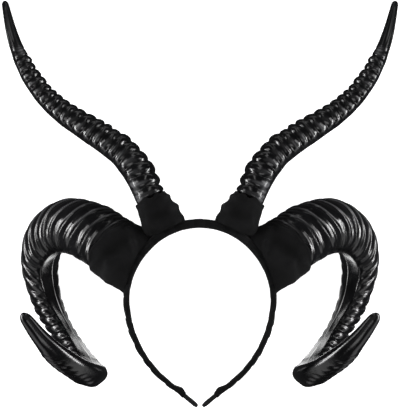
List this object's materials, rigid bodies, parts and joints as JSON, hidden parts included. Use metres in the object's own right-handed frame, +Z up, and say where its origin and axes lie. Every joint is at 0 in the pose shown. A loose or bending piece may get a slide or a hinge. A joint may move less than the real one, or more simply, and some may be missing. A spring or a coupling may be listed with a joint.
{
  "type": "horn headband",
  "caption": "Costume headband: a hoop wound with black cloth carries tall ringed horns near the crown and curled ram horns at the sides, each root in a cloth sleeve.",
  "frame": {"origin": "on the surface that the headband lies on, under the middle of its box", "axes": "+X to the viewer's right seen from the front of the worn headband, +Y towards the upright horns' tips, +Z up from the surface, which is the way the worn headband faces"},
  "size_m": [0.3034, 0.2956, 0.1428],
  "materials": {
    "horn": "gloss black skin over ringed horns",
    "cloth": "matte black woven cloth",
    "hoop": "satin black moulded plastic"
  },
  "bodies": {
    "root": {"band_hoop": "hoop", "band_wrap": "cloth", "upright_horn_left": "horn", "upright_horn_right": "horn", "ram_horn_left": "horn", "ram_horn_right": "horn", "upright_sleeve_left": "cloth", "upright_sleeve_right": "cloth", "ram_sleeve_left": "cloth", "ram_sleeve_right": "cloth"}
  },
  "joints": []
}
